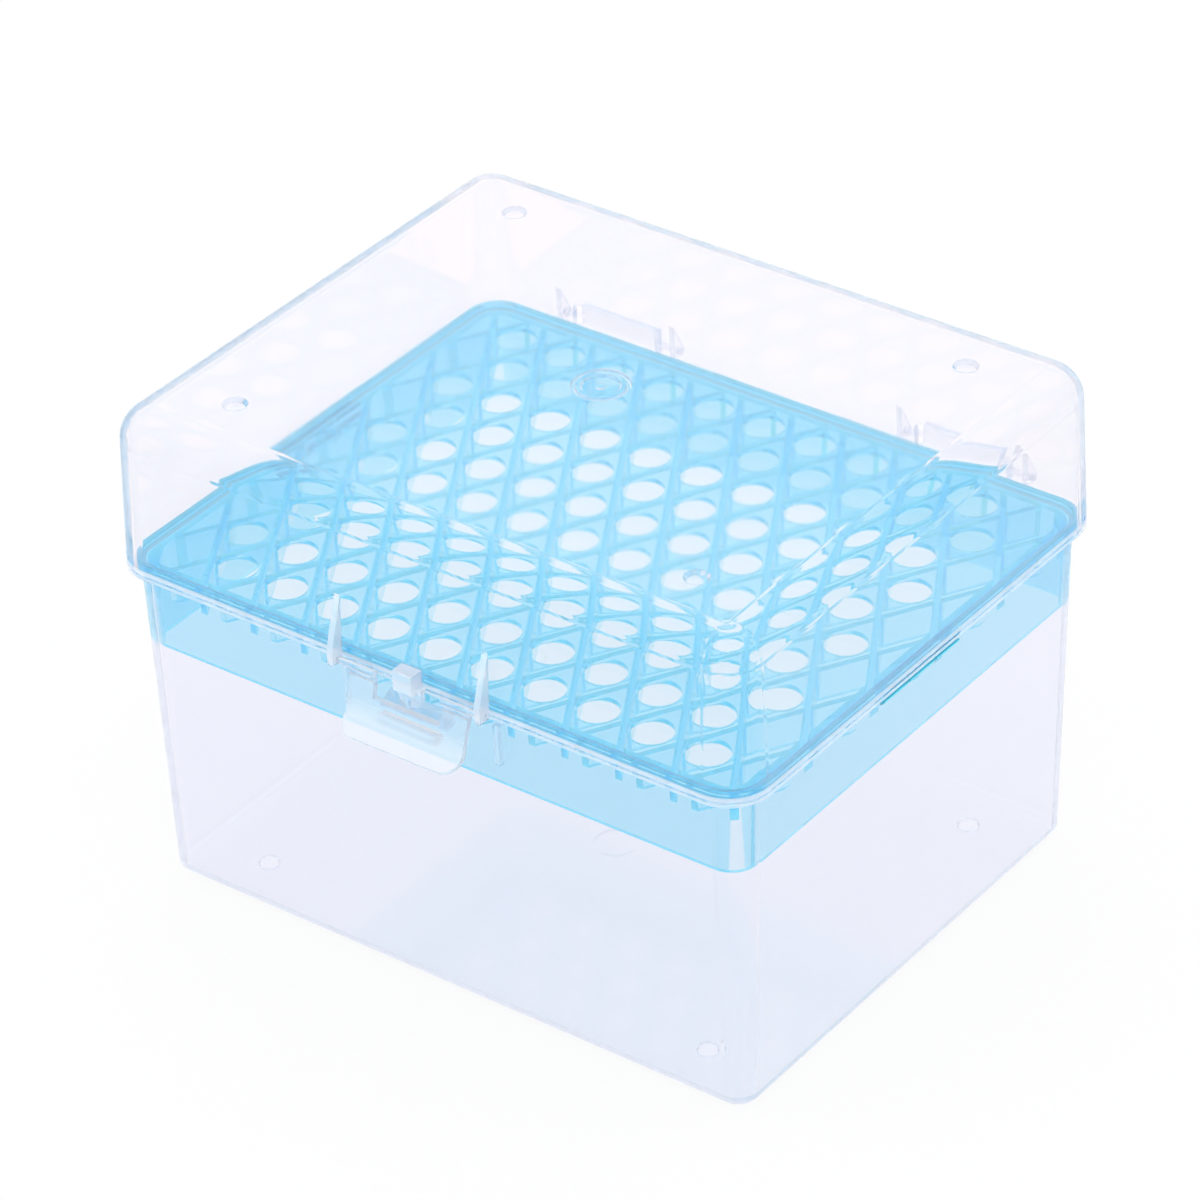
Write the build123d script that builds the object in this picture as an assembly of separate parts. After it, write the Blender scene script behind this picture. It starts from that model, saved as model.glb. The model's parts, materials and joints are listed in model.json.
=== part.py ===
"""Hinged box for pipette tips: a clear tub, a perforated tray, a deep lid and a latch flap.

Frame: origin on the surface the box stands on, at the middle of its plan with hinge and latch.
+X runs along the front to the right, +Y to the back where the lid is hinged, +Z up. The pieces
are made about the middle of the rim and moved to that origin as they are written. Millimetres.
"""
from build123d import *
from math import acos, atan2, cos, radians, sin, sqrt, tan
import os

# ---------------------------------------------------------------- driving dimensions
# hole pattern of the tray
PITCH = 11.0                  # between neighbouring holes, in a row and between rows
ROWS = 10
HOLES_PER_ROW = 10
HOLE_DIAMETER = 7.8

# overall sizes
RIM_LENGTH = 133.4            # lid and flange, outside, along X
RIM_WIDTH = 108.2             # lid and flange, outside, along Y
RIM_RADIUS = 8.0              # plan corners of lid and flange
TUB_HEIGHT = 65.45            # foot to the top of the flange, without the feet
LID_HEIGHT = 30.55            # above the flange

# walls
TUB_WALL = 1.3
TUB_FLOOR = 1.5
LID_WALL = 1.2
LID_DRAFT = 1.85              # degrees
TUB_DRAFT = 1.7               # degrees
LID_EDGE_RADIUS = 6.5         # soft edge between the lid's top and its walls
TUB_EDGE_RADIUS = 1.5         # edge between the floor and the walls

# rim of the tub
FLANGE_THICKNESS = 1.0
OVERHANG_X = 2.2              # flange beyond the tub's end walls
OVERHANG_Y = 2.5              # flange beyond the tub's front and back walls
FLARE_HEIGHT = 1.6            # cone that carries the flange
FLARE_ANGLE = 45.0            # degrees
RIM_EDGE = 0.25               # bevel on the flange and along the lid's rim
TUB_CORNER_RADIUS = 6.0

# tray
PLATE_THICKNESS = 0.9
PLATE_ABOVE_FLANGE = 0.45     # the plate stands this much out of its rebate
TRAY_CLEARANCE = 0.3          # round the plate, in the rebate
TRAY_CORNER_RADIUS = 6.6
LIP_HEIGHT = 0.8
LIP_WIDTH = 1.3
LIP_EDGE = 0.35               # bevel
SEAT_WIDTH = 1.95             # how far the plate lies on the tub's rim
SKIRT_DEPTH = 16.9            # below the top of the plate
SKIRT_THICKNESS = 1.2
SKIRT_CLEARANCE = 0.25
RIB_THICKNESS = 1.2
RIB_DEPTH = 5.8

# feet and stacking dimples
FOOT_X = 48.0
FOOT_Y = 39.0
FOOT_DIAMETER = 4.0
FOOT_HEIGHT = 0.8
FOOT_EDGE = 0.3               # bevel
DIMPLE_CLEARANCE = 0.3
DIMPLE_DEPTH = 0.8
DIMPLE_EDGE = 0.6             # bevel at the dimple's floor
GATE_RING_DIAMETER = 9.6      # middle of the groove round the gate
GATE_RING_RADIUS = 0.5
GATE_DISH_DIAMETER = 7.2
GATE_DISH_DEPTH = 0.5
GATE_DISH_EDGE = 0.4
GATE_NUB_DIAMETER = 1.8
GATE_NUB_HEIGHT = 0.35
TUB_GATE_DIAMETER = 8.0
TUB_GATE_DEPTH = 0.3

# rear hinge
HINGE_X = 37.4                # middle of each hinge from the middle of the box
LEAF_LENGTH = 17.4
LEAF_THICKNESS = 1.5
LEAF_RISE = 3.8               # above the flange
LEAF_EDGE_RADIUS = 0.4
HINGE_PIN_RADIUS = 0.6
HINGE_AXIS_OUT = 1.5          # behind the lid's back wall
HINGE_AXIS_UP = 0.9           # above the flange
HINGE_LUG_SPACING = 25.5
HINGE_LUG_RISE = 6.6          # tip of the gusset above the flange
HINGE_NOTCH_LENGTH = 18.4
HINGE_NOTCH_HEIGHT = 4.7
HINGE_NOTCH_RADIUS = 1.2

# latch
LATCH_PIN_RADIUS = 0.6
LATCH_AXIS_OUT = 1.25         # in front of the lid's front wall
LATCH_AXIS_UP = 0.1           # above the flange
LATCH_LUG_SPACING = 30.9
LATCH_LUG_RISE = 12.3
LATCH_LUG_PROUD = 2.6
LATCH_LUG_DROP = 0.7          # below the flange's top
LATCH_LUG_FOOT = 3.2          # upright edge at the bottom of a lug
LATCH_LENGTH = 25.2           # along X, at its top
LATCH_TOP_DROP = 1.5          # shoulders below the flange's top
LATCH_THICKNESS = 1.2
LATCH_LEAN = 13.5             # degrees that the flap leans out, going down
LATCH_FALL = 7.7              # inner face, from the shoulders to the knee
LATCH_LIP = 4.15              # inner face, from the knee to the thumb edge
LATCH_LIP_ANGLE = 55.0        # degrees from upright
LATCH_KNEE_RADIUS = 0.8
LATCH_SIDE_DRAW = 0.55        # each side, narrower at the thumb edge
LATCH_CORNER_RADIUS = 3.2
LATCH_GAP = 0.4               # flap to flange
LATCH_NOTCH_LENGTH = 14.1
LATCH_NOTCH_DEPTH = 2.85
LATCH_ROD_RADIUS = 0.7        # round bar along the top of each shoulder
LATCH_WEB_THICKNESS = 0.6     # thin web from the bar down to the shoulder

# centre boss and tongue on the lid's front
BOSS_LENGTH = 4.1
BOSS_PROUD = 2.8
BOSS_RISE = 3.6
BOSS_DROP = 0.35
BOSS_EDGE_RADIUS = 0.3
TONGUE_LENGTH = 5.6
TONGUE_THICKNESS = 1.2
TONGUE_DROP = 4.0
TONGUE_GAP = 0.3
FIN_THICKNESS = 1.0           # upright fin in front of the tongue

# catch on the tub's front wall
CATCH_LENGTH = 14.0
CATCH_DROP = 6.65             # underside below the flange's top
CATCH_NOSE = 0.6              # height of the ridge at its tip
CATCH_ROOT = 2.4              # height of the ridge at the wall
CATCH_GAP_TO_FLAP = 1.7
BEAD_LENGTH = 12.0
BEAD_RADIUS = 0.9
BEAD_HOLD = 0.3               # how far the bead reaches in under the ridge
BEAD_PLAY = 0.5
GUARD_RIB_THICKNESS = 1.0
GUARD_RIB_PROUD = 1.2
GUARD_RIB_X = 15.9
GUARD_RIB_TOP_DROP = 2.95
GUARD_RIB_HEIGHT = 8.3

# snap beads on both ends of the tray's skirt, in windows of the tub's end walls
SNAP_BEADS = 3
SNAP_BEAD_LENGTH = 6.9
SNAP_BEAD_HEIGHT = 0.9
SNAP_BEAD_NOSE = 0.3          # upright part of its tip; below it the bead slopes back
SNAP_BEAD_PROUD = 0.7         # beyond the tub's end wall
SNAP_BEAD_STEP = 7.75
SNAP_BEAD_DROP = 3.6          # middle of a bead below the flange's top
SNAP_WINDOW_GAP = 0.15        # all round a bead

LUG_THICKNESS = 1.2
LUG_EDGE_RADIUS = 0.25
PIN_CLEARANCE = 0.08          # radial, pins in their lugs
BOSS_WALL = 0.5               # plastic round a pin hole
SINK = 0.6                    # how deep one form is let into the wall that carries it
CUT_OVER = 1.0                # how far a cutter runs past the face that it opens
REST_GAP = 0.04               # air between two pieces that rest on each other

# ---------------------------------------------------------------- heights and plan sizes
Z_FLOOR = FOOT_HEIGHT
Z_FLANGE = FOOT_HEIGHT + TUB_HEIGHT
Z_LID_RIM = Z_FLANGE + REST_GAP
Z_LID_TOP = Z_FLANGE + LID_HEIGHT
Z_PLATE = Z_FLANGE + PLATE_ABOVE_FLANGE
Z_PLATE_UNDER = Z_PLATE - PLATE_THICKNESS
Z_SEAT = Z_PLATE_UNDER - REST_GAP
Z_FLANGE_UNDER = Z_FLANGE - FLANGE_THICKNESS
Z_FLARE = Z_FLANGE_UNDER - FLARE_HEIGHT

TUB_LENGTH = RIM_LENGTH - 2 * OVERHANG_X      # outside, under the flange
TUB_WIDTH = RIM_WIDTH - 2 * OVERHANG_Y
CAVITY_LENGTH = TUB_LENGTH - 2 * TUB_WALL
CAVITY_WIDTH = TUB_WIDTH - 2 * TUB_WALL
TRAY_LENGTH = CAVITY_LENGTH + 2 * SEAT_WIDTH
TRAY_WIDTH = CAVITY_WIDTH + 2 * SEAT_WIDTH
FRONT = -RIM_WIDTH / 2
BACK = RIM_WIDTH / 2

HINGE_Y = BACK + HINGE_AXIS_OUT
HINGE_Z = Z_FLANGE + HINGE_AXIS_UP
HINGE_EYE_RADIUS = HINGE_PIN_RADIUS + PIN_CLEARANCE + BOSS_WALL
LATCH_Y = FRONT - LATCH_AXIS_OUT
LATCH_Z = Z_FLANGE + LATCH_AXIS_UP
Z_CATCH = Z_FLANGE - CATCH_DROP
Z_SNAP = Z_FLANGE - SNAP_BEAD_DROP

# inner face of the flap, from its shoulders over the knee to the thumb edge, as (y, z)
FLAP_SHOULDER = (FRONT - LATCH_GAP, Z_FLANGE - LATCH_TOP_DROP)
FLAP_KNEE = (FLAP_SHOULDER[0] - LATCH_FALL * sin(radians(LATCH_LEAN)),
             FLAP_SHOULDER[1] - LATCH_FALL * cos(radians(LATCH_LEAN)))
FLAP_EDGE = (FLAP_KNEE[0] - LATCH_LIP * sin(radians(LATCH_LIP_ANGLE)),
             FLAP_KNEE[1] - LATCH_LIP * cos(radians(LATCH_LIP_ANGLE)))

# the rim's middle lies this far behind the middle of the whole plan
FOREMOST = FLAP_EDGE[0] - LATCH_THICKNESS * cos(radians(LATCH_LIP_ANGLE))
RIM_BEHIND_MIDDLE = -(FOREMOST + HINGE_Y + HINGE_EYE_RADIUS) / 2


def wall_y(z):
    """Outside face of the tub's front wall at height z, as a negative Y."""
    return -TUB_WIDTH / 2 + (Z_FLARE - z) * tan(radians(TUB_DRAFT))


def wall_x(z):
    """Outside face of the tub's right end wall at height z."""
    return TUB_LENGTH / 2 - (Z_FLARE - z) * tan(radians(TUB_DRAFT))


def skirt_x(z):
    """Outside face of the right end of the tray's skirt at height z."""
    return CAVITY_LENGTH / 2 - SKIRT_CLEARANCE - (Z_PLATE_UNDER - z) * tan(radians(TUB_DRAFT))


def flap_y(z):
    """Inner face of the leaning part of the flap at height z."""
    return FLAP_SHOULDER[0] - (FLAP_SHOULDER[1] - z) * tan(radians(LATCH_LEAN))


def rounded_block(length, width, radius, z_low, z_high, draft=0.0):
    """Upright block with rounded plan corners; its walls lean in going up by the draft."""
    outline = Plane.XY.offset(z_low) * RectangleRounded(length, width, radius)
    return extrude(outline, z_high - z_low, taper=draft)


def drafted_tub(length, width, radius, z_low, z_high, draft):
    """Block that is widest at its top, where the length and width are given."""
    outline = Plane(origin=(0, 0, z_high), z_dir=(0, 0, -1)) * RectangleRounded(length, width, radius)
    return extrude(outline, z_high - z_low, taper=draft)


def bar_x(radius, x_low, x_high, y, z):
    """Round bar along X."""
    return Plane(origin=(x_low, y, z), z_dir=(1, 0, 0)) * extrude(Circle(radius), x_high - x_low)


def side_view(x):
    """Plane seen from the right: its own X runs along Y, and its own Y runs up."""
    return Plane(origin=(x, 0, 0), x_dir=(0, 1, 0), z_dir=(1, 0, 0))


def slab_x(points, x_low, x_high):
    """Flat profile given as (y, z) points, extruded along X."""
    outline = side_view(x_low) * make_face(Polyline(*points, close=True))
    return extrude(outline, x_high - x_low)


def hole_places():
    """Centres of the staggered holes: each odd row is set half a pitch to the left."""
    row_step = PITCH * sin(radians(60))
    x_shift = -(HOLES_PER_ROW - 1.5) / 2 * PITCH
    y_shift = -(ROWS - 1) / 2 * row_step
    places = []
    for row in range(ROWS):
        for hole in range(HOLES_PER_ROW):
            x = x_shift + (hole - 0.5 * (row % 2)) * PITCH
            places.append((x, y_shift + row * row_step))
    return places


def snap_places():
    """Side, as -1 or 1, and Y of each snap bead of the tray."""
    middle = (SNAP_BEADS - 1) / 2
    return [(side, (index - middle) * SNAP_BEAD_STEP) for side in (-1, 1) for index in range(SNAP_BEADS)]


def foot_places():
    """Centres of the feet, and of the dimples that take the feet of the next box."""
    return [(x, y) for x in (-FOOT_X, FOOT_X) for y in (-FOOT_Y, FOOT_Y)]


# ---------------------------------------------------------------- lugs of hinge and latch
def lug_plate(outline, x_middle):
    """Upright plate across the lid's wall, from (y, z) points."""
    plate = slab_x(outline, x_middle - LUG_THICKNESS / 2, x_middle + LUG_THICKNESS / 2)
    return fillet(plate.edges().filter_by(Axis.X).group_by(Axis.Z)[-1], LUG_EDGE_RADIUS)


def pin_bore(radius, axis_y, axis_z, x_middle):
    """Cutter for the hole that a pin turns in."""
    reach = LUG_THICKNESS / 2 + CUT_OVER
    return bar_x(radius + PIN_CLEARANCE, x_middle - reach, x_middle + reach, axis_y, axis_z)


def make_hinge_lug(x_middle):
    """Slim gusset on the lid's back wall that runs down into a round eye for the pin."""
    top = Z_FLANGE + HINGE_LUG_RISE
    wall_at_top = BACK - HINGE_LUG_RISE * tan(radians(LID_DRAFT))
    out = HINGE_Y - wall_at_top
    up = top - HINGE_Z
    distance = sqrt(out ** 2 + up ** 2)
    angle = atan2(up, -out) - acos(HINGE_EYE_RADIUS / distance)
    touch = (HINGE_Y + HINGE_EYE_RADIUS * cos(angle), HINGE_Z + HINGE_EYE_RADIUS * sin(angle))
    plate = lug_plate(
        [
            (BACK - SINK, Z_LID_RIM),
            (HINGE_Y, Z_LID_RIM),
            (HINGE_Y, HINGE_Z),
            touch,
            (wall_at_top, top),
            (wall_at_top - SINK, top),
        ],
        x_middle,
    )
    half = LUG_THICKNESS / 2
    return plate + bar_x(HINGE_EYE_RADIUS, x_middle - half, x_middle + half, HINGE_Y, HINGE_Z)


def make_latch_lug(x_middle):
    """Tall gusset on the lid's front wall with an upright foot that holds the latch's pin."""
    top = Z_FLANGE + LATCH_LUG_RISE
    low = Z_FLANGE - LATCH_LUG_DROP
    wall_at_top = FRONT + LATCH_LUG_RISE * tan(radians(LID_DRAFT))
    front_face = FRONT - LATCH_LUG_PROUD
    back_face = FRONT - TONGUE_GAP
    return lug_plate(
        [
            (FRONT + SINK, Z_LID_RIM),
            (back_face, Z_LID_RIM),
            (back_face, low),
            (front_face, low),
            (front_face, low + LATCH_LUG_FOOT),
            (wall_at_top, top),
            (wall_at_top + SINK, top),
        ],
        x_middle,
    )


# ---------------------------------------------------------------- base
def make_base():
    walls = drafted_tub(TUB_LENGTH, TUB_WIDTH, TUB_CORNER_RADIUS, Z_FLOOR, Z_FLARE, TUB_DRAFT)
    walls = fillet(walls.edges().group_by(Axis.Z)[0], TUB_EDGE_RADIUS)
    flare = rounded_block(TUB_LENGTH, TUB_WIDTH, TUB_CORNER_RADIUS, Z_FLARE, Z_FLANGE_UNDER, -FLARE_ANGLE)
    flange = rounded_block(RIM_LENGTH, RIM_WIDTH, RIM_RADIUS, Z_FLANGE_UNDER, Z_FLANGE)
    flange = chamfer(flange.edges().filter_by(Plane.XY), RIM_EDGE)
    body = walls + flare + flange

    cavity = drafted_tub(CAVITY_LENGTH, CAVITY_WIDTH, TUB_CORNER_RADIUS - TUB_WALL,
                         Z_FLOOR + TUB_FLOOR, Z_SEAT, TUB_DRAFT)
    rebate = rounded_block(TRAY_LENGTH + 2 * TRAY_CLEARANCE, TRAY_WIDTH + 2 * TRAY_CLEARANCE,
                           TRAY_CORNER_RADIUS + TRAY_CLEARANCE, Z_SEAT, Z_FLANGE + CUT_OVER)
    body = body - cavity - rebate

    foot = extrude(Circle(FOOT_DIAMETER / 2), Z_FLOOR + SINK)
    foot = chamfer(foot.edges().group_by(Axis.Z)[0], FOOT_EDGE)
    body += [Pos(x, y, 0) * foot for x, y in foot_places()]
    body -= Pos(0, 0, Z_FLOOR) * extrude(Circle(TUB_GATE_DIAMETER / 2), TUB_GATE_DEPTH)

    for side in (-1, 1):
        body += make_leaf(side * HINGE_X)
        body += make_guard_rib(side * GUARD_RIB_X)
    body -= make_snap_windows()
    return body + make_catch()


def make_leaf(x_middle):
    """Upright hinge leaf on a short shelf of the flange, with a moulded pin at each end."""
    x_low = x_middle - LEAF_LENGTH / 2
    x_high = x_middle + LEAF_LENGTH / 2
    near = HINGE_Y - LEAF_THICKNESS / 2
    far = HINGE_Y + LEAF_THICKNESS / 2
    top = Z_FLANGE + LEAF_RISE
    leaf = slab_x([(near, Z_FLANGE_UNDER), (far, Z_FLANGE_UNDER), (far, top), (near, top)], x_low, x_high)
    leaf = fillet(leaf.edges().group_by(Axis.Z)[-1], LEAF_EDGE_RADIUS)
    root = BACK - SINK
    end = near + SINK
    shelf = slab_x([(root, Z_FLANGE_UNDER), (end, Z_FLANGE_UNDER), (end, Z_FLANGE), (root, Z_FLANGE)],
                   x_low, x_high)
    pin_reach = HINGE_LUG_SPACING / 2 + LUG_THICKNESS / 2
    pin = bar_x(HINGE_PIN_RADIUS, x_middle - pin_reach, x_middle + pin_reach, HINGE_Y, HINGE_Z)
    return leaf + shelf + pin


def make_catch():
    """Wedge-topped ridge that the latch's bead snaps under."""
    tip = flap_y(Z_CATCH) + CATCH_GAP_TO_FLAP
    root = wall_y(Z_CATCH) + SINK
    nose = Z_CATCH + CATCH_NOSE
    return slab_x([(root, Z_CATCH), (tip, Z_CATCH), (tip, nose), (root, Z_CATCH + CATCH_ROOT)],
                  -CATCH_LENGTH / 2, CATCH_LENGTH / 2)


def make_guard_rib(x_middle):
    top = Z_FLANGE - GUARD_RIB_TOP_DROP
    low = top - GUARD_RIB_HEIGHT
    points = [
        (wall_y(low) + SINK, low),
        (wall_y(low) - GUARD_RIB_PROUD, low),
        (wall_y(top) - GUARD_RIB_PROUD, top),
        (wall_y(top) + SINK, top),
    ]
    return slab_x(points, x_middle - GUARD_RIB_THICKNESS / 2, x_middle + GUARD_RIB_THICKNESS / 2)


def make_snap_windows():
    """Cutters for the windows of the end walls that the tray's beads snap into."""
    window = Box(2 * (TUB_WALL + CUT_OVER), SNAP_BEAD_LENGTH + 2 * SNAP_WINDOW_GAP,
                 SNAP_BEAD_HEIGHT + 2 * SNAP_WINDOW_GAP)
    return [Pos(side * wall_x(Z_SNAP), y, Z_SNAP) * window for side, y in snap_places()]


# ---------------------------------------------------------------- tray
def make_tray():
    plate = rounded_block(TRAY_LENGTH, TRAY_WIDTH, TRAY_CORNER_RADIUS, Z_PLATE_UNDER, Z_PLATE)
    lip = rounded_block(TRAY_LENGTH, TRAY_WIDTH, TRAY_CORNER_RADIUS, Z_PLATE, Z_PLATE + LIP_HEIGHT)
    lip -= rounded_block(TRAY_LENGTH - 2 * LIP_WIDTH, TRAY_WIDTH - 2 * LIP_WIDTH,
                         TRAY_CORNER_RADIUS - LIP_WIDTH, Z_PLATE, Z_PLATE + LIP_HEIGHT)
    lip = chamfer(lip.edges().group_by(Axis.Z)[-1], LIP_EDGE)

    z_skirt = Z_PLATE - SKIRT_DEPTH
    skirt_length = CAVITY_LENGTH - 2 * SKIRT_CLEARANCE
    skirt_width = CAVITY_WIDTH - 2 * SKIRT_CLEARANCE
    skirt_radius = TUB_CORNER_RADIUS - TUB_WALL - SKIRT_CLEARANCE
    outside = drafted_tub(skirt_length, skirt_width, skirt_radius, z_skirt, Z_PLATE_UNDER, TUB_DRAFT)
    inside = drafted_tub(skirt_length - 2 * SKIRT_THICKNESS, skirt_width - 2 * SKIRT_THICKNESS,
                         skirt_radius - SKIRT_THICKNESS, z_skirt, Z_PLATE_UNDER, TUB_DRAFT)
    skirt = outside - inside

    rib_field = rounded_block(skirt_length - SKIRT_THICKNESS, skirt_width - SKIRT_THICKNESS,
                              skirt_radius - SKIRT_THICKNESS / 2, Z_PLATE_UNDER - RIB_DEPTH, Z_PLATE_UNDER)
    ribs = make_ribs() & rib_field

    holes = Sketch() + [Pos(x, y) * Circle(HOLE_DIAMETER / 2) for x, y in hole_places()]
    body = plate + skirt + ribs + lip - Pos(0, 0, Z_PLATE_UNDER) * extrude(holes, PLATE_THICKNESS)
    return body + make_snap_beads()


def make_snap_beads():
    """Wedges on the skirt's ends, flat on top and sloped below, so that the tray is pressed in from above."""
    root = skirt_x(Z_SNAP) - SINK
    wall = wall_x(Z_SNAP)
    tip = wall + SNAP_BEAD_PROUD
    low = Z_SNAP - SNAP_BEAD_HEIGHT / 2
    top = Z_SNAP + SNAP_BEAD_HEIGHT / 2
    beads = []
    for side, y in snap_places():
        across = Plane(origin=(0, y, 0), x_dir=(side, 0, 0), z_dir=(0, -side, 0))
        outline = Polyline((root, low), (wall, low), (tip, top - SNAP_BEAD_NOSE), (tip, top), (root, top),
                           close=True)
        beads.append(extrude(across * make_face(outline), SNAP_BEAD_LENGTH / 2, both=True))
    return beads


def make_ribs():
    """Two families of straight ribs that cross at 60 degrees and pass midway between the holes."""
    row_step = PITCH * sin(radians(60))
    x_hole, y_hole = hole_places()[0]
    reach = sqrt(TRAY_LENGTH ** 2 + TRAY_WIDTH ** 2)
    count = int(reach / row_step) + 1
    outline = Sketch()
    for angle in (60, 120):
        normal = (-sin(radians(angle)), cos(radians(angle)))
        start = x_hole * normal[0] + y_hole * normal[1] + row_step / 2
        for step in range(-count, count + 1):
            distance = start + step * row_step
            if abs(distance) < reach / 2:
                middle = Pos(distance * normal[0], distance * normal[1]) * Rot(0, 0, angle)
                outline += middle * Rectangle(reach, RIB_THICKNESS)
    return Pos(0, 0, Z_PLATE_UNDER - RIB_DEPTH) * extrude(outline, RIB_DEPTH)


# ---------------------------------------------------------------- lid
def make_lid():
    body = rounded_block(RIM_LENGTH, RIM_WIDTH, RIM_RADIUS, Z_LID_RIM, Z_LID_TOP, LID_DRAFT)
    body = fillet(body.edges().group_by(Axis.Z)[-1], LID_EDGE_RADIUS)
    body = chamfer(body.edges().group_by(Axis.Z)[0], RIM_EDGE)
    inside = rounded_block(RIM_LENGTH - 2 * LID_WALL, RIM_WIDTH - 2 * LID_WALL, RIM_RADIUS - LID_WALL,
                           Z_LID_RIM, Z_LID_TOP - LID_WALL, LID_DRAFT)
    inside = fillet(inside.edges().group_by(Axis.Z)[-1], LID_EDGE_RADIUS - LID_WALL)
    body -= inside

    dimple = extrude(Circle(FOOT_DIAMETER / 2 + DIMPLE_CLEARANCE), DIMPLE_DEPTH)
    dimple = chamfer(dimple.edges().group_by(Axis.Z)[0], DIMPLE_EDGE)
    body -= [Pos(x, y, Z_LID_TOP - DIMPLE_DEPTH) * dimple for x, y in foot_places()]
    body -= make_gate_mark()

    for side in (-1, 1):
        body -= make_hinge_notch(side * HINGE_X)
        for end in (-1, 1):
            x = side * HINGE_X + end * HINGE_LUG_SPACING / 2
            body += make_hinge_lug(x)
            body -= pin_bore(HINGE_PIN_RADIUS, HINGE_Y, HINGE_Z, x)
        x = side * LATCH_LUG_SPACING / 2
        body += make_latch_lug(x)
        body -= pin_bore(LATCH_PIN_RADIUS, LATCH_Y, LATCH_Z, x)
    return body + make_tongue()


def make_gate_mark():
    """Round groove about a shallow dish with a nub left standing in it, cut into the lid's top."""
    groove = Pos(0, 0, Z_LID_TOP) * Torus(GATE_RING_DIAMETER / 2, GATE_RING_RADIUS)
    dish = extrude(Circle(GATE_DISH_DIAMETER / 2), GATE_DISH_DEPTH)
    dish = chamfer(dish.edges().group_by(Axis.Z)[0], GATE_DISH_EDGE)
    dish -= extrude(Circle(GATE_NUB_DIAMETER / 2), GATE_NUB_HEIGHT)
    return [groove, Pos(0, 0, Z_LID_TOP - GATE_DISH_DEPTH) * dish]


def make_hinge_notch(x_middle):
    """Opening in the lid's back wall that clears the leaf, with round upper corners."""
    height = HINGE_NOTCH_HEIGHT
    outline = Pos(x_middle, Z_FLANGE) * RectangleRounded(HINGE_NOTCH_LENGTH, 2 * height, HINGE_NOTCH_RADIUS)
    return Plane.XZ.offset(-BACK - CUT_OVER) * extrude(outline, 2 * LID_WALL + CUT_OVER)


def make_tongue():
    """Boss on the lid's front rim, with a round-ended tongue that hangs in the latch's notch."""
    low = Z_FLANGE - BOSS_DROP
    back_face = FRONT - TONGUE_GAP
    front_face = FRONT - BOSS_PROUD
    boss = slab_x(
        [
            (FRONT + SINK, Z_LID_RIM),
            (back_face, Z_LID_RIM),
            (back_face, low),
            (front_face, low),
            (front_face, Z_FLANGE + BOSS_RISE),
            (FRONT + SINK, Z_FLANGE + BOSS_RISE),
        ],
        -BOSS_LENGTH / 2,
        BOSS_LENGTH / 2,
    )
    boss = fillet(boss.faces().sort_by(Axis.Y)[0].edges(), BOSS_EDGE_RADIUS)
    tip = Z_FLANGE - TONGUE_DROP
    radius = TONGUE_LENGTH / 2
    outline = Pos(0, (tip + radius + Z_FLANGE) / 2) * Rectangle(TONGUE_LENGTH, Z_FLANGE - tip - radius)
    outline += Pos(0, tip + radius) * Circle(radius)
    tongue = Plane.XZ.offset(-back_face) * extrude(outline, TONGUE_THICKNESS)
    tongue_face = back_face - TONGUE_THICKNESS
    fin = slab_x([(back_face, low + SINK), (front_face + BOSS_EDGE_RADIUS, low + SINK),
                  (front_face + BOSS_EDGE_RADIUS, low), (tongue_face, tip), (back_face, tip)],
                 -FIN_THICKNESS / 2, FIN_THICKNESS / 2)
    bridge = slab_x([(back_face, Z_LID_RIM), (tongue_face, Z_LID_RIM), (tongue_face, Z_LID_RIM + SINK),
                     (FRONT + SINK, Z_LID_RIM + SINK), (FRONT + SINK, Z_LID_RIM)],
                    -TONGUE_LENGTH / 2, TONGUE_LENGTH / 2)
    return boss + tongue + fin + bridge


# ---------------------------------------------------------------- latch
def flap_profile():
    """Side outline of the flap as (y, z): it leans out, then turns out at the knee to the thumb edge."""
    lean = radians(LATCH_LEAN)
    turned = radians(LATCH_LIP_ANGLE)
    share = LATCH_THICKNESS / (1 + cos(turned - lean))
    outer_knee = (FLAP_KNEE[0] - share * (cos(lean) + cos(turned)),
                  FLAP_KNEE[1] + share * (sin(lean) + sin(turned)))
    outer_edge = (FLAP_EDGE[0] - LATCH_THICKNESS * cos(turned),
                  FLAP_EDGE[1] + LATCH_THICKNESS * sin(turned))
    outer_shoulder = (FLAP_SHOULDER[0] - LATCH_THICKNESS / cos(lean), FLAP_SHOULDER[1])
    outline = make_face(Polyline(FLAP_SHOULDER, FLAP_KNEE, FLAP_EDGE, outer_edge, outer_knee, outer_shoulder,
                                 close=True))
    for knee, radius in ((FLAP_KNEE, LATCH_KNEE_RADIUS + LATCH_THICKNESS), (outer_knee, LATCH_KNEE_RADIUS)):
        corner = outline.vertices().sort_by_distance(knee)[0]
        outline = fillet(corner, radius)
    return outline


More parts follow.
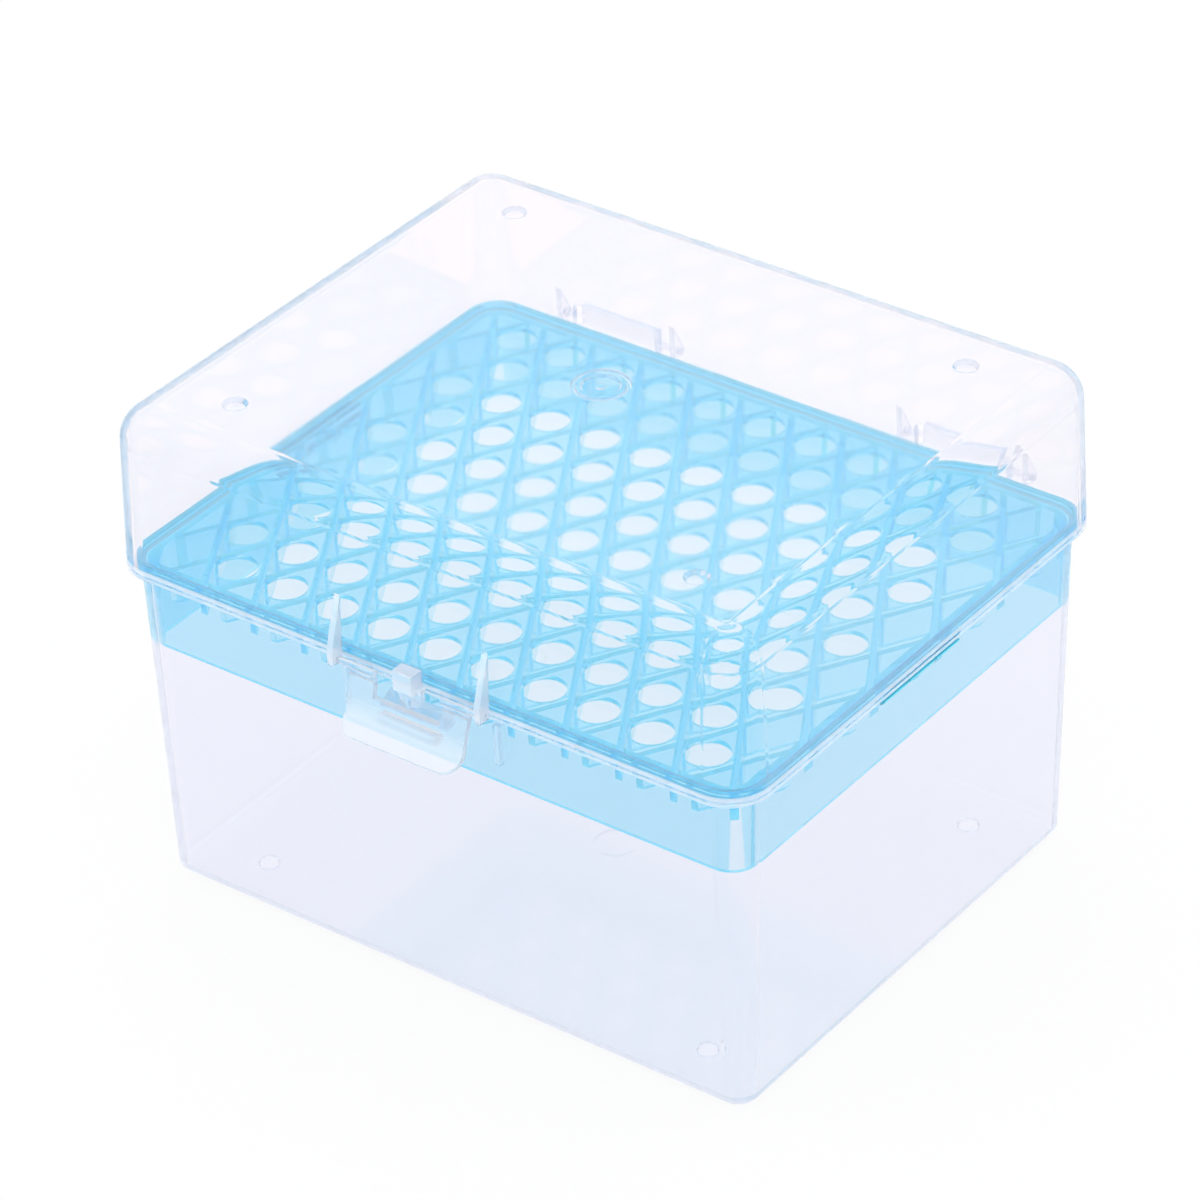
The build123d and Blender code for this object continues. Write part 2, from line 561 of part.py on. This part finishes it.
def make_latch():
    shoulder_y, shoulder_z = FLAP_SHOULDER
    half = LATCH_LENGTH / 2
    low_half = half - LATCH_SIDE_DRAW
    width = LATCH_LENGTH + 2 * CUT_OVER
    panel = extrude(side_view(-width / 2) * flap_profile(), width)
    outline = make_face(Polyline((-half, shoulder_z), (half, shoulder_z), (low_half, FLAP_EDGE[1]),
                                 (-low_half, FLAP_EDGE[1]), close=True))
    outline -= Pos(0, shoulder_z) * Rectangle(LATCH_NOTCH_LENGTH, 2 * LATCH_NOTCH_DEPTH)
    blank = Plane.XZ.offset(-shoulder_y - CUT_OVER) * extrude(outline, shoulder_y - FOREMOST + 2 * CUT_OVER)
    body = panel & blank
    edge_face = body.faces().sort_by(Axis.Y)[0]
    body = fillet(edge_face.edges().group_by(SortBy.LENGTH)[0], LATCH_CORNER_RADIUS)

    notch_half = LATCH_NOTCH_LENGTH / 2
    pin_reach = LATCH_LUG_SPACING / 2 + LUG_THICKNESS / 2
    web_far = LATCH_Y - LATCH_WEB_THICKNESS / 2
    for side in (-1, 1):
        x_low, x_high = sorted((side * notch_half, side * half))
        body += bar_x(LATCH_ROD_RADIUS, x_low, x_high, LATCH_Y, LATCH_Z)
        body += slab_x(
            [
                (web_far, LATCH_Z),
                (web_far + LATCH_WEB_THICKNESS, LATCH_Z),
                (shoulder_y, shoulder_z),
                (flap_y(shoulder_z - SINK), shoulder_z - SINK),
                (flap_y(shoulder_z - SINK) - LATCH_WEB_THICKNESS, shoulder_z - SINK),
                (shoulder_y - LATCH_WEB_THICKNESS, shoulder_z),
            ],
            x_low,
            x_high,
        )
        x_low, x_high = sorted((side * (half - SINK), side * pin_reach))
        body += bar_x(LATCH_PIN_RADIUS, x_low, x_high, LATCH_Y, LATCH_Z)
    return body + make_bead()


def make_bead():
    """Round-nosed ledge across the flap's inner face, which lies under the catch's ridge."""
    middle = Z_CATCH - BEAD_PLAY - BEAD_RADIUS
    nose = flap_y(Z_CATCH) + CATCH_GAP_TO_FLAP + BEAD_HOLD - BEAD_RADIUS
    root = flap_y(middle) - SINK
    half = BEAD_LENGTH / 2
    low = middle - BEAD_RADIUS
    top = middle + BEAD_RADIUS
    ledge = slab_x([(root, low), (nose, low), (nose, top), (root, top)], -half, half)
    return ledge + bar_x(BEAD_RADIUS, -half, half, nose, middle)


# ---------------------------------------------------------------- files
NODES = {"base": make_base, "tray": make_tray, "lid": make_lid, "latch": make_latch}


def main():
    os.makedirs("parts", exist_ok=True)
    for name, make in NODES.items():
        export_step(Pos(0, RIM_BEHIND_MIDDLE, 0) * make(), f"parts/{name}.step")


main()
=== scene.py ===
import json

import bpy
from mathutils import Matrix, Vector

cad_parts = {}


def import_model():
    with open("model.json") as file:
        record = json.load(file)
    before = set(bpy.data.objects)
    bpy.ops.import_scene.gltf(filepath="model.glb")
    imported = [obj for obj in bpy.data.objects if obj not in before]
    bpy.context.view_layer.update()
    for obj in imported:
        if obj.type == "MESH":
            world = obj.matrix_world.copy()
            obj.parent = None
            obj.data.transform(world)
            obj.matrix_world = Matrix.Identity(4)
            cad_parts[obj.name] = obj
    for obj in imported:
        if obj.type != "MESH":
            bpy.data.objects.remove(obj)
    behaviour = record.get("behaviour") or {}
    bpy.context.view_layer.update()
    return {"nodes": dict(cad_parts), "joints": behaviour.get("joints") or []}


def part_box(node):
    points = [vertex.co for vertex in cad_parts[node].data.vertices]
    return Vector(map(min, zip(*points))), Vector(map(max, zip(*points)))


bl_info = {
    "name": "Pipette tip box",
    "version": (1, 0, 0),
    "blender": (4, 5, 0),
    "location": "View3D > Sidebar > Tip Box",
    "description": "Finishes a clear hinged box with a blue tray and sets it on a studio floor",
    "category": "Object",
}

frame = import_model()

MM = 0.001
WHITE = (1.0, 1.0, 1.0)

# directions
RIGHT = (1.0, 0.0, 0.0)
LEFT = (-1.0, 0.0, 0.0)
FRONT = (0.0, -1.0, 0.0)
BACK = (0.0, 1.0, 0.0)
UP = (0.0, 0.0, 1.0)
DOWN = (0.0, 0.0, -1.0)
FLAP_FACES = (0.0, -0.972, 0.233)     # the way the closed flap looks

# places of the forms that the finishes tell apart, in metres
LATCH_PIN_OUT = 1.25 * MM     # from the rim's front to the flap's pins
HINGE_PIN_OUT = 1.5 * MM      # from the rim's back to the hinge pins
AXES = {joint["name"]: Vector(joint["pos_m"]) for joint in frame["joints"]}
FRONT_Y = AXES["latch_hinge"].y + LATCH_PIN_OUT
BACK_Y = AXES["lid_hinge"].y - HINGE_PIN_OUT
TUB_FRONT_Y = FRONT_Y + 2.2 * MM      # just in front of the tub's wall
RIM_Z = AXES["latch_hinge"].z         # where tub and lid meet
FLANGE_HIGH_Z = RIM_Z - 0.2 * MM      # just under the top of the tub's flange
FLANGE_LOW_Z = RIM_Z - 1.25 * MM      # just under the flange
RIBS_Z = RIM_Z - 2.0 * MM             # over the tub's guard ribs and its catch
BEADS_Z = RIM_Z - 3.0 * MM            # over the tray's snap beads
LID_RIM_HIGH_Z = RIM_Z + 1.1 * MM     # top of the pale band along the lid's rim
LID_RIM_LOW_Z = RIM_Z - 0.6 * MM      # under the lid's rim and its boss
LID_LEAN = 0.0323             # of the lid's walls, inwards for each unit of height
FLAP_CLOUD_AND_PAINTED_SHEEN_Z = RIM_Z - 3.5 * MM       # from where the flap grows hazy downwards, also a painted reflection of the overhead light
FLAP_BLEND = 5.0 * MM         # length over which it does
TRAY_LOW, TRAY_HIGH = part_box("tray")
MIDDLE_Y = (TRAY_LOW.y + TRAY_HIGH.y) / 2
PLATE_DEPTH = 1.6 * MM        # from the top of the tray's lip to the underside of its plate
SKIRT_INSET = 3.05 * MM       # from the tray's edge into the middle of its skirt's wall
BEAD_INSET = 2.1 * MM         # from the tips of the snap beads to the outside of the skirt
PROUD = 0.05 * MM             # how far a form stands out before it takes its own finish
BLEND = 0.15 * MM             # width of the change between two finishes

# the plastic's surface
FLOW_SCALE, FLOW_DETAIL, FLOW_STRETCH = 40.0, 3.0, (1.0, 1.0, 0.3)
RIPPLE_SCALE, RIPPLE_DETAIL, RIPPLE_DEPTH = 60.0, 1.0, 0.4 * MM
NOISE_LOW, NOISE_HIGH = 0.3, 0.7      # between which a noise mostly stays
ROUGHNESS_DRIFT = 0.3         # share by which the roughness rises and falls with the flow
MILK_DRIFT = 0.2              # share by which the milkiness does
FROST = 0.10                  # roughness of a frosted face
FROSTED_BELOW = 4.0 * MM      # height up to which the tub is frosted
OUTLINE_PAINTED_HIGHLIGHT = 0.35           # milky share on the walls round a flat piece, a painted highlight along its edges
OUTLINE_TURN = 0.6            # cosine of the turn past which a face counts as such a wall
CAUGHT_LIGHT = 0.98           # mirrored share past which light counts as caught inside a wall

# the light and the camera
GLOW_FROM, GLOW_FULL = 0.2, 0.6       # upward part of a direction where the glow starts and is full
LIGHT_BOUNCES = 64            # enough for a look along the walls, through many of their faces
SENSOR_MM = 36.0
NEAREST_VIEW = 10.0 * MM
CAMERA_AXES = Matrix((
    (0.80325, 0.59470, -0.03334),     # to its right
    (-0.30618, 0.46027, 0.83331),     # upwards
    (0.51092, -0.65915, 0.55180),     # backwards
))


# ------------------------------------------------------------------ zones
# A limit is a direction, a distance along it past which it holds, and the width of the change.
def right_of(x):
    return RIGHT, x, BLEND


def left_of(x):
    return LEFT, -x, BLEND


def before(y):
    return FRONT, -y, BLEND


def behind(y):
    return BACK, y, BLEND


def above(z):
    return UP, z, BLEND


def below(z, blend=BLEND):
    return DOWN, -z, blend


OUTWARDS = "outwards"         # a limit that holds on faces that look outwards
BEFORE_LID = ((0.0, -1.0, LID_LEAN), -FRONT_Y + LID_LEAN * RIM_Z + PROUD, BLEND)
BEHIND_LID = ((0.0, 1.0, LID_LEAN), BACK_Y + LID_LEAN * RIM_Z + PROUD, BLEND)

# for each piece its hazy zones, some of them partly painted light: the milky share, and the limits
# that all hold there
CLOUDY_AND_PAINTED_LIGHT = {
    "base": [
        # edge of the flange: milky, and partly a painted highlight along the rim band
        (0.45, [OUTWARDS, above(FLANGE_LOW_Z), below(FLANGE_HIGH_Z), before(BACK_Y)]),
        # hinge leaves
        (0.10, [above(FLANGE_LOW_Z), behind(BACK_Y)]),
        # guard ribs and catch
        (0.15, [before(TUB_FRONT_Y), below(RIBS_Z)]),
    ],
    "lid": [
        # band along the rim: milky, and partly a painted highlight along its top and bottom edges
        (0.45, [OUTWARDS, below(LID_RIM_HIGH_Z), above(LID_RIM_LOW_Z), before(BACK_Y)]),
        # latch lugs and boss
        (0.52, [BEFORE_LID, above(LID_RIM_LOW_Z)]),
        # tongue under the boss
        (0.15, [BEFORE_LID, below(LID_RIM_LOW_Z)]),
        # hinge lugs
        (0.10, [BEHIND_LID]),
    ],
    "latch": [
        # lower part of the flap: milkier, and whiter as a painted reflection of the overhead light
        # on its flared part
        (0.55, [below(FLAP_CLOUD_AND_PAINTED_SHEEN_Z, FLAP_BLEND)]),
    ],
    "tray": [
        # snap beads at both ends
        (0.8, [right_of(TRAY_HIGH.x - BEAD_INSET), below(BEADS_Z)]),
        (0.8, [left_of(TRAY_LOW.x + BEAD_INSET), below(BEADS_Z)]),
    ],
}

# inside the tray's skirt and under its plate
TRAY_INNER = [
    below(TRAY_HIGH.z - PLATE_DEPTH),
    right_of(TRAY_LOW.x + SKIRT_INSET),
    left_of(TRAY_HIGH.x - SKIRT_INSET),
    behind(TRAY_LOW.y + SKIRT_INSET),
    before(TRAY_HIGH.y - SKIRT_INSET),
]


# ------------------------------------------------------------------ materials
class NodeTree:
    """Adds shader nodes to a new material or world in short lines, and links them."""

    def __init__(self, owner, output):
        owner.use_nodes = True
        self.owner = owner
        self.tree = owner.node_tree
        self.tree.nodes.clear()
        self.output = self.add(output)

    def add(self, kind, inputs=None, **settings):
        """New node with its settings and its inputs: numbers, colours, or sockets to link."""
        node = self.tree.nodes.new("ShaderNode" + kind)
        for key, value in settings.items():
            setattr(node, key, value)
        for key, value in (inputs or {}).items():
            if isinstance(value, bpy.types.NodeSocket):
                self.link(value, node.inputs[key])
            else:
                node.inputs[key].default_value = value
        return node

    def link(self, source, target):
        self.tree.links.new(source, target)

    def math(self, operation, first, second=0.0):
        """Math on two values, each a number or a socket."""
        return self.add("Math", {0: first, 1: second}, operation=operation).outputs["Value"]

    def along(self, vector, direction):
        """Dot product of a vector socket with a direction, or with another vector socket."""
        node = self.add("VectorMath", {0: vector, 1: direction}, operation="DOT_PRODUCT")
        return node.outputs["Value"]

    def map_range(self, value, source, target=(0.0, 1.0)):
        """Value carried from one range to another, and kept inside it."""
        ends = {"From Min": source[0], "From Max": source[1],
                "To Min": target[0], "To Max": target[1]}
        return self.add("MapRange", {"Value": value, **ends}).outputs["Result"]

    def mix_shaders(self, share, first, second):
        """Second shader by its share, and the first by the rest."""
        return self.add("MixShader", {"Fac": share, 1: first, 2: second}).outputs["Shader"]

    def beyond(self, direction, distance, blend):
        """1 where the point lies further than the distance along a direction, and 0 before it."""
        height = self.along(self.add("TexCoord").outputs["Object"], direction)
        return self.map_range(height, (distance, distance + blend))

    def outwards(self):
        """1 on faces that look away from the middle of the floor, and 0 on those that look inwards.

        It is so for light that comes from outside the plastic, and the other way round from within.
        """
        place = self.add("TexCoord")
        away = self.along(place.outputs["Object"], place.outputs["Normal"])
        return self.math("GREATER_THAN", away, 0.0)

    def zone(self, limits):
        """Product of several limits: 1 where all of them hold."""
        value = 1.0
        for limit in limits:
            holds = self.outwards() if limit == OUTWARDS else self.beyond(*limit)
            value = self.math("MULTIPLY", value, holds)
        return value

    def zones(self, parts):
        """Largest of several zones, each with its strength."""
        value = 0.0
        for strength, limits in parts:
            value = self.math("MAXIMUM", value, self.math("MULTIPLY", self.zone(limits), strength))
        return value

    def outline(self, face, strength):
        """Painted highlight: the strength on walls that stand square to a flat piece's face, and 0
        elsewhere.
        """
        turn = self.along(self.add("TexCoord").outputs["Normal"], face)
        aside = self.math("LESS_THAN", self.math("ABSOLUTE", turn), OUTLINE_TURN)
        return self.math("MULTIPLY", aside, strength)

    def noise(self, scale, detail, stretch=(1.0, 1.0, 1.0)):
        """Noise on Object coordinates, stretched along the axes by a Mapping node."""
        place = self.add("TexCoord").outputs["Object"]
        mapped = self.add("Mapping", {"Vector": place, "Scale": stretch}).outputs["Vector"]
        values = {"Vector": mapped, "Scale": scale, "Detail": detail}
        return self.add("TexNoise", values).outputs["Fac"]

    def drifting(self, noise, middle, share):
        """A value that a noise carries up and down from its middle by a share of it."""
        ends = (middle * (1.0 - share), middle * (1.0 + share))
        return self.map_range(noise, (NOISE_LOW, NOISE_HIGH), ends)


def moulded_plastic(name, look, cloudy_and_lit_zones, inner=None, frosted=None, face=None):
    """See-through moulded plastic: its walls refract, and its body takes up light along the way.

    Roughness drifts with the flow of the melt, and a shallow ripple bends the surface. The outside
    scatters a milky share of the light, more in the hazy zones; on the rim band and the flap's
    lower part that share is partly painted light, a painted highlight along the band and a painted
    reflection of the overhead light on the flap. Light caught inside a wall leaks out, tinted, as
    it does from the hazy edges of a moulding. Faces in the inner zone let the light through without
    the surface's own tint, and those in the frosted zone are rough. Where a direction is given that
    a flat piece faces, the walls round its edges take a milky share that is a painted highlight
    along them.
    """
    nodes = NodeTree(bpy.data.materials.new(name), "OutputMaterial")
    surface = (*look.surface, 1.0)
    flow = nodes.noise(FLOW_SCALE, FLOW_DETAIL, FLOW_STRETCH)
    roughness = nodes.drifting(flow, look.roughness, ROUGHNESS_DRIFT)
    if frosted:
        frost = nodes.math("MULTIPLY", nodes.zone(frosted), FROST)
        roughness = nodes.math("MAXIMUM", roughness, frost)
    ripple = nodes.add("Bump", {
        "Strength": look.ripple,
        "Distance": RIPPLE_DEPTH,
        "Height": nodes.noise(RIPPLE_SCALE, RIPPLE_DETAIL),
    }).outputs["Normal"]
    clear = nodes.add("BsdfPrincipled", {
        "Base Color": surface,
        "Transmission Weight": 1.0,
        "IOR": look.ior,
        "Roughness": roughness,
        "Normal": ripple,
    })
    if inner:
        tint = nodes.add("Mix", data_type="RGBA")
        tint.inputs["A"].default_value = surface
        tint.inputs["B"].default_value = (*WHITE, 1.0)
        nodes.link(nodes.zone(inner), tint.inputs["Factor"])
        nodes.link(tint.outputs["Result"], clear.inputs["Base Color"])

    inside = nodes.add("NewGeometry").outputs["Backfacing"]
    outside = nodes.math("SUBTRACT", 1.0, inside)
    # the diffuse share is the plastic's haze, and partly painted light in the rim band, on the
    # flap's lower part and round a flat piece's edges
    chalk_and_painted_light = nodes.add("BsdfDiffuse", {"Color": (*look.milk, 1.0)}).outputs["BSDF"]
    cloud_and_painted_light = nodes.drifting(flow, look.milkiness, MILK_DRIFT)
    cloud_and_painted_light = nodes.math("MAXIMUM", cloud_and_painted_light, nodes.zones(cloudy_and_lit_zones))
    # pale walls round a flat piece: a painted highlight along its edges
    if face:
        cloud_and_painted_light = nodes.math("MAXIMUM", cloud_and_painted_light, nodes.outline(face, OUTLINE_PAINTED_HIGHLIGHT))
    share = nodes.math("MULTIPLY", cloud_and_painted_light, outside)
    milky = nodes.mix_shaders(share, clear.outputs["BSDF"], chalk_and_painted_light)

    mirrored = nodes.add("Fresnel", {"IOR": look.ior, "Normal": ripple}).outputs["Fac"]
    caught = nodes.math("MULTIPLY", nodes.math("GREATER_THAN", mirrored, CAUGHT_LIGHT), inside)
    way_out = nodes.add("BsdfTransparent", {"Color": (*look.edge, 1.0)}).outputs["BSDF"]
    leaking = nodes.mix_shaders(nodes.math("MULTIPLY", caught, look.leak), milky, way_out)
    nodes.link(leaking, nodes.output.inputs["Surface"])

    body = nodes.add("VolumeAbsorption", {"Color": (*look.depth, 1.0), "Density": look.density})
    nodes.link(body.outputs["Volume"], nodes.output.inputs["Volume"])
    return nodes.owner


def floor_paint(colour, shadow_share):
    """Pale studio floor that stays white to the eye and still takes a soft shadow."""
    nodes = NodeTree(bpy.data.materials.new("studio_floor"), "OutputMaterial")
    matt = nodes.add("BsdfDiffuse", {"Color": (*colour, 1.0)}).outputs["BSDF"]
    glow = nodes.add("Emission", {"Color": (*WHITE, 1.0)}).outputs["Emission"]
    path = nodes.add("LightPath").outputs
    seen = nodes.math("MAXIMUM", path["Is Camera Ray"], path["Is Glossy Ray"])
    seen = nodes.math("MAXIMUM", seen, path["Is Transmission Ray"])
    share = nodes.math("MULTIPLY", seen, 1.0 - shadow_share)
    nodes.link(nodes.mix_shaders(share, matt, glow), nodes.output.inputs["Surface"])
    return nodes.owner


def studio_world(level, glow):
    """White surroundings under a wide soft light overhead.

    Matt surfaces take the surroundings at a level. To the eye they are full white, and so they are
    in glossy and see-through plastic, where the overhead light is brighter by its glow.
    """
    nodes = NodeTree(bpy.data.worlds.new("studio_world"), "OutputWorld")
    nodes.owner.cycles.sampling_method = "NONE"
    direction = nodes.add("TexCoord").outputs["Generated"]
    height = nodes.add("SeparateXYZ", {0: direction}).outputs["Z"]
    overhead = nodes.map_range(height, (GLOW_FROM, GLOW_FULL), (0.0, glow))
    path = nodes.add("LightPath").outputs
    unseen = nodes.math("SUBTRACT", 1.0, path["Is Camera Ray"])
    lamp = nodes.math("ADD", nodes.math("MULTIPLY", overhead, unseen), 1.0)
    matt = nodes.math("ADD", nodes.math("MULTIPLY", path["Is Diffuse Ray"], level - 1.0), 1.0)
    strength = nodes.math("MULTIPLY", lamp, matt)
    sky = nodes.add("Background", {"Color": (*WHITE, 1.0), "Strength": strength})
    nodes.link(sky.outputs["Background"], nodes.output.inputs["Surface"])
    return nodes.owner


def dress(node_name, material):
    """Gives a CAD node its finish."""
    materials = frame["nodes"][node_name].data.materials
    materials.clear()
    materials.append(material)


# ------------------------------------------------------------------ stage
def studio_floor(settings):
    """Square floor on which the box stands."""
    half = settings.floor_size / 2
    mesh = bpy.data.meshes.new("studio_floor")
    corners = [(-half, -half, 0), (half, -half, 0), (half, half, 0), (-half, half, 0)]
    mesh.from_pydata(corners, [], [(0, 1, 2, 3)])
    mesh.materials.append(floor_paint(settings.floor_colour, settings.shadow_share))
    return bpy.data.objects.new("studio_floor", mesh)


def studio_camera(settings):
    """Camera in front of the box, above it and to its right."""
    lens = bpy.data.cameras.new("camera")
    lens.sensor_width = SENSOR_MM
    lens.lens = settings.lens
    lens.clip_start = NEAREST_VIEW
    camera = bpy.data.objects.new("camera", lens)
    place = Vector(settings.camera_place) + Vector((0.0, MIDDLE_Y, 0.0))
    camera.matrix_world = Matrix.Translation(place) @ CAMERA_AXES.transposed().to_4x4()
    return camera


# ------------------------------------------------------------------ settings
class PlasticLook(bpy.types.PropertyGroup):
    """Colour and clarity of one moulded plastic."""

    surface: bpy.props.FloatVectorProperty(
        name="Surface tint", description="Colour that each wall lets through",
        subtype="COLOR", size=3, min=0.0, max=1.0, default=WHITE)
    depth: bpy.props.FloatVectorProperty(
        name="Depth tint", description="Colour that a thick section takes on",
        subtype="COLOR", size=3, min=0.0, max=1.0, default=(0.17, 0.25, 0.88))
    density: bpy.props.FloatProperty(
        name="Density", description="How fast the body takes up light, per metre",
        default=5.0, min=0.0)
    roughness: bpy.props.FloatProperty(
        name="Roughness", description="Middle of the surface roughness",
        subtype="FACTOR", default=0.04, min=0.0, max=1.0)
    ripple: bpy.props.FloatProperty(
        name="Ripple", description="Strength of the shallow waves in the surface",
        subtype="FACTOR", default=0.1, min=0.0, max=1.0)
    ior: bpy.props.FloatProperty(
        name="Index of refraction", description="How strongly the walls bend light",
        default=1.49, min=1.0, max=2.0)
    milk: bpy.props.FloatVectorProperty(
        name="Milk", description="Colour of the light that the plastic scatters",
        subtype="COLOR", size=3, min=0.0, max=1.0, default=(0.88, 0.94, 1.0))
    milkiness: bpy.props.FloatProperty(
        name="Milkiness", description="Share of the light that the outside scatters",
        subtype="FACTOR", default=0.02, min=0.0, max=1.0)
    edge: bpy.props.FloatVectorProperty(
        name="Edge tint", description="Colour of the light that leaks out of a wall's edges",
        subtype="COLOR", size=3, min=0.0, max=1.0, default=(0.90, 0.93, 1.0))
    leak: bpy.props.FloatProperty(
        name="Leak", description="Share of the caught light that leaks out at each turn",
        subtype="FACTOR", default=0.7, min=0.0, max=1.0)


# what each piece's plastic has of its own
LOOKS = {
    "tub": {
        "surface": (0.945, 0.950, 1.0),
    },
    "lid": {
        "surface": (0.995, 0.972, 0.995),
        "density": 4.0,
        "milkiness": 0.01,
    },
    "latch": {
        "surface": (0.97, 0.975, 1.0),
        "roughness": 0.08,
        "milkiness": 0.12,
        "edge": (0.92, 0.94, 1.0),
    },
    "tray": {
        "surface": (0.37, 0.81, 0.98),
        "depth": (0.05, 0.85, 1.0),
        "density": 160.0,
        "roughness": 0.05,
        "milk": (0.18, 0.80, 0.95),
        "milkiness": 0.0,
        "edge": (0.33, 0.90, 1.0),
    },
}


class TipBoxFinish(bpy.types.PropertyGroup):
    """Looks of the four moulded pieces."""

    tub: bpy.props.PointerProperty(
        name="Tub", description="Plastic of the tub", type=PlasticLook)
    lid: bpy.props.PointerProperty(
        name="Lid", description="Plastic of the lid", type=PlasticLook)
    latch: bpy.props.PointerProperty(
        name="Latch", description="Plastic of the flap in front", type=PlasticLook)
    tray: bpy.props.PointerProperty(
        name="Tray", description="Plastic of the perforated tray", type=PlasticLook)


class TipBoxStage(bpy.types.PropertyGroup):
    """Floor, light and camera."""

    floor_colour: bpy.props.FloatVectorProperty(
        name="Floor colour", description="Colour of the studio floor",
        subtype="COLOR", size=3, min=0.0, max=1.0, default=(0.96, 0.96, 0.96))
    floor_size: bpy.props.FloatProperty(
        name="Floor size", description="Length of each side of the floor",
        default=6.0, min=1.0, unit="LENGTH")
    shadow_share: bpy.props.FloatProperty(
        name="Shadow share", description="Part of the floor's brightness that a shadow can take",
        subtype="FACTOR", default=0.10, min=0.0, max=1.0)
    sky_level: bpy.props.FloatProperty(
        name="Sky level", description="How strongly the white surroundings light matt surfaces",
        subtype="FACTOR", default=0.95, min=0.0, max=1.0)
    overhead_glow: bpy.props.FloatProperty(
        name="Overhead glow", description="How much brighter the light overhead is than the sky",
        default=0.25, min=0.0)
    camera_place: bpy.props.FloatVectorProperty(
        name="Camera place", description="Where the camera stands, from under the rim's middle",
        subtype="TRANSLATION", size=3, default=(0.4887, -0.6331, 0.5824))
    lens: bpy.props.FloatProperty(
        name="Lens", description="Focal length in millimetres on a 36 mm sensor",
        default=166.06, min=10.0, unit="CAMERA")


# ------------------------------------------------------------------ operators
class TIPBOX_OT_clear_pieces(bpy.types.Operator):
    """Finish the tub, the lid and the latch in clear plastic"""

    bl_idname = "tipbox.clear_pieces"
    bl_label = "Clear pieces"

    def execute(self, context):
        finish = context.scene.tipbox_finish
        dress("base", moulded_plastic("clear_tub", finish.tub, CLOUDY_AND_PAINTED_LIGHT["base"],
                                      frosted=[below(FROSTED_BELOW)]))
        dress("lid", moulded_plastic("clear_lid", finish.lid, CLOUDY_AND_PAINTED_LIGHT["lid"]))
        dress("latch", moulded_plastic("clear_latch", finish.latch, CLOUDY_AND_PAINTED_LIGHT["latch"],
                                       face=FLAP_FACES))
        return {"FINISHED"}


class TIPBOX_OT_tray(bpy.types.Operator):
    """Finish the tray in blue translucent plastic"""

    bl_idname = "tipbox.tray"
    bl_label = "Tray"

    def execute(self, context):
        finish = context.scene.tipbox_finish
        dress("tray", moulded_plastic("blue_tray", finish.tray, CLOUDY_AND_PAINTED_LIGHT["tray"],
                                      inner=TRAY_INNER))
        return {"FINISHED"}


class TIPBOX_OT_stage(bpy.types.Operator):
    """Set up the floor, the soft light and the camera"""

    bl_idname = "tipbox.stage"
    bl_label = "Studio stage"

    def execute(self, context):
        scene = context.scene
        settings = scene.tipbox_stage
        floor = studio_floor(settings)
        scene.collection.objects.link(floor)
        scene.world = studio_world(settings.sky_level, settings.overhead_glow)
        camera = studio_camera(settings)
        scene.collection.objects.link(camera)
        scene.camera = camera
        scene.view_settings.view_transform = "Standard"
        scene.cycles.max_bounces = LIGHT_BOUNCES
        scene.cycles.transmission_bounces = LIGHT_BOUNCES
        scene.cycles.transparent_max_bounces = LIGHT_BOUNCES
        return {"FINISHED"}


OPERATORS = (TIPBOX_OT_clear_pieces, TIPBOX_OT_tray, TIPBOX_OT_stage)


class TIPBOX_PT_panel(bpy.types.Panel):
    """Buttons and settings of the tip box"""

    bl_idname = "TIPBOX_PT_panel"
    bl_label = "Tip box"
    bl_space_type = "VIEW_3D"
    bl_region_type = "UI"
    bl_category = "Tip Box"

    def draw(self, context):
        scene = context.scene
        for piece in LOOKS:
            self.list_settings(piece.capitalize(), getattr(scene.tipbox_finish, piece))
        self.list_settings("Stage", scene.tipbox_stage)
        for operator in OPERATORS:
            self.layout.operator(operator.bl_idname)

    def list_settings(self, heading, group):
        self.layout.label(text=heading)
        for key in group.__annotations__:
            self.layout.prop(group, key)


CLASSES = (PlasticLook, TipBoxFinish, TipBoxStage, *OPERATORS, TIPBOX_PT_panel)


def register():
    for item in CLASSES:
        bpy.utils.register_class(item)
    bpy.types.Scene.tipbox_finish = bpy.props.PointerProperty(type=TipBoxFinish)
    bpy.types.Scene.tipbox_stage = bpy.props.PointerProperty(type=TipBoxStage)
    for piece, values in LOOKS.items():
        look = getattr(bpy.context.scene.tipbox_finish, piece)
        for key, value in values.items():
            setattr(look, key, value)


def unregister():
    del bpy.types.Scene.tipbox_stage
    del bpy.types.Scene.tipbox_finish
    for item in reversed(CLASSES):
        bpy.utils.unregister_class(item)


def main():
    register()
    bpy.ops.tipbox.clear_pieces()
    bpy.ops.tipbox.tray()
    bpy.ops.tipbox.stage()
    bpy.context.view_layer.update()


if __name__ == "__main__":
    main()
